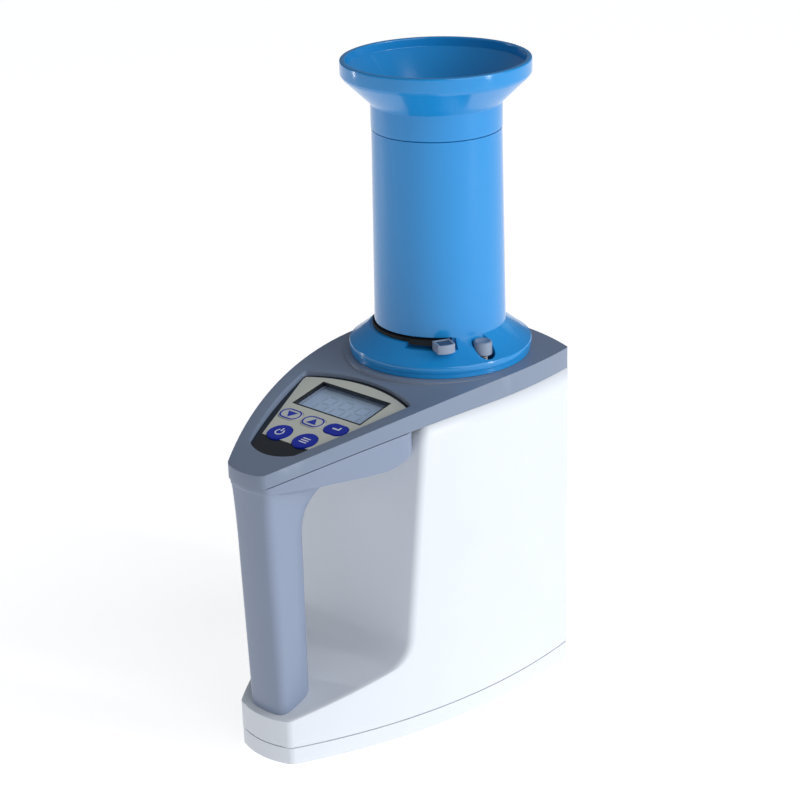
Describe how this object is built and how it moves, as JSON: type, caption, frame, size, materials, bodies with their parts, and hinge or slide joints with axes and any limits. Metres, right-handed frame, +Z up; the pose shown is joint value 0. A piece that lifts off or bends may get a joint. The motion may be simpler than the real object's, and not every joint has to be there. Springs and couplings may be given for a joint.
{
  "type": "grain moisture meter",
  "caption": "Bench grain moisture meter with carrying handle, tilted display panel, lift-off loading tube with funnel and swinging shutter, and a measuring cell inside.",
  "frame": {"origin": "middle of the footprint on the surface it stands on", "axes": "+Z up, -Y towards the operator, handle and display, +X to the operator's right"},
  "size_m": [0.124, 0.226, 0.3855],
  "materials": {
    "white_abs": "satin moulded ABS",
    "grey_abs": "fine satin moulded ABS",
    "deck_abs": "fine satin moulded ABS",
    "black_gloss": "gloss",
    "overlay_film": "printed polyester film",
    "key_pale": "printed, satin",
    "key_blue": "printed, satin",
    "clear_lens": "clear acrylic",
    "lcd_grey": "liquid crystal glass",
    "circuit_board": "solder mask",
    "black_plastic": "moulded",
    "cell_aluminium": "turned",
    "cream_nylon": "machined",
    "steel": "zinc plated",
    "bracket_plastic": "moulded",
    "cell_sleeve": "printed sleeve",
    "foot_rubber": "moulded",
    "blue_abs": "gloss moulded ABS",
    "shutter_steel": "stamped sheet",
    "grip_grey": "moulded",
    "spring_steel": "drawn wire",
    "button_grey": "moulded"
  },
  "bodies": {
    "root": {"main_housing": "white_abs", "base_cover": "white_abs", "handle_grip": "grey_abs", "top_deck": "deck_abs", "panel_plate": "black_gloss", "keypad_overlay": "overlay_film", "lcd_lens": "clear_lens", "lcd_module": "lcd_grey", "panel_board": "circuit_board", "key_switches": "black_plastic", "main_board": "circuit_board", "board_components": "black_plastic", "cell_cup": "cell_aluminium", "cell_electrode": "cell_aluminium", "cell_base": "cream_nylon", "temperature_probe": "steel", "cell_bracket": "bracket_plastic", "cell_board": "circuit_board", "battery_case": "black_plastic", "battery_cells": "cell_sleeve", "battery_contacts": "steel", "rubber_feet": "foot_rubber", "deck_screws": "steel", "base_screws": "steel", "bracket_screws": "steel", "handle_screw": "steel", "panel_screws": "steel"},
    "loader": {"drop_tube": "blue_abs", "pivot_pin": "steel", "shutter_spring": "spring_steel", "button_spring": "spring_steel"},
    "funnel": {"funnel": "blue_abs"},
    "shutter": {"shutter_plate": "shutter_steel", "shutter_grip": "grip_grey"},
    "button": {"release_button": "button_grey"},
    "battery_door": {"battery_door": "white_abs"},
    "key_down": {"key_down": "key_pale"},
    "key_up": {"key_up": "key_pale"},
    "key_enter": {"key_enter": "key_blue"},
    "key_power": {"key_power": "key_blue"},
    "key_mode": {"key_mode": "key_blue"}
  },
  "joints": [
    {"name": "loader_lift", "type": "slide", "parent": "root", "child": "loader", "axis": [0, 0, 1], "range_m": [0, 0.05]},
    {"name": "funnel_lift", "type": "slide", "parent": "loader", "child": "funnel", "axis": [0, 0, 1], "range_m": [0, 0.03]},
    {"name": "shutter_swing", "type": "hinge", "parent": "loader", "child": "shutter", "pos_m": [-0.03001, 0.08468, 0.228], "axis": [0, 0, -1], "range_deg": [0, 106]},
    {"name": "button_press", "type": "slide", "parent": "loader", "child": "button", "axis": [0, 0, -1], "range_m": [0, 0.002], "stiffness_N_per_m": 300, "springref_m": -0.003, "deforming": ["button_spring"]},
    {"name": "battery_door_slide", "type": "slide", "parent": "root", "child": "battery_door", "axis": [0, 1, 0], "range_m": [0, 0.01]},
    {"name": "key_down_press", "type": "slide", "parent": "root", "child": "key_down", "axis": [0, 0.1959, -0.9806], "range_m": [0, 0.0005], "stiffness_N_per_m": 1500, "springref_m": -0.0002},
    {"name": "key_up_press", "type": "slide", "parent": "root", "child": "key_up", "axis": [0, 0.1959, -0.9806], "range_m": [0, 0.0005], "stiffness_N_per_m": 1500, "springref_m": -0.0002},
    {"name": "key_enter_press", "type": "slide", "parent": "root", "child": "key_enter", "axis": [0, 0.1959, -0.9806], "range_m": [0, 0.0005], "stiffness_N_per_m": 1500, "springref_m": -0.0002},
    {"name": "key_power_press", "type": "slide", "parent": "root", "child": "key_power", "axis": [0, 0.1959, -0.9806], "range_m": [0, 0.0005], "stiffness_N_per_m": 1500, "springref_m": -0.0002},
    {"name": "key_mode_press", "type": "slide", "parent": "root", "child": "key_mode", "axis": [0, 0.1959, -0.9806], "range_m": [0, 0.0005], "stiffness_N_per_m": 1500, "springref_m": -0.0002}
  ]
}
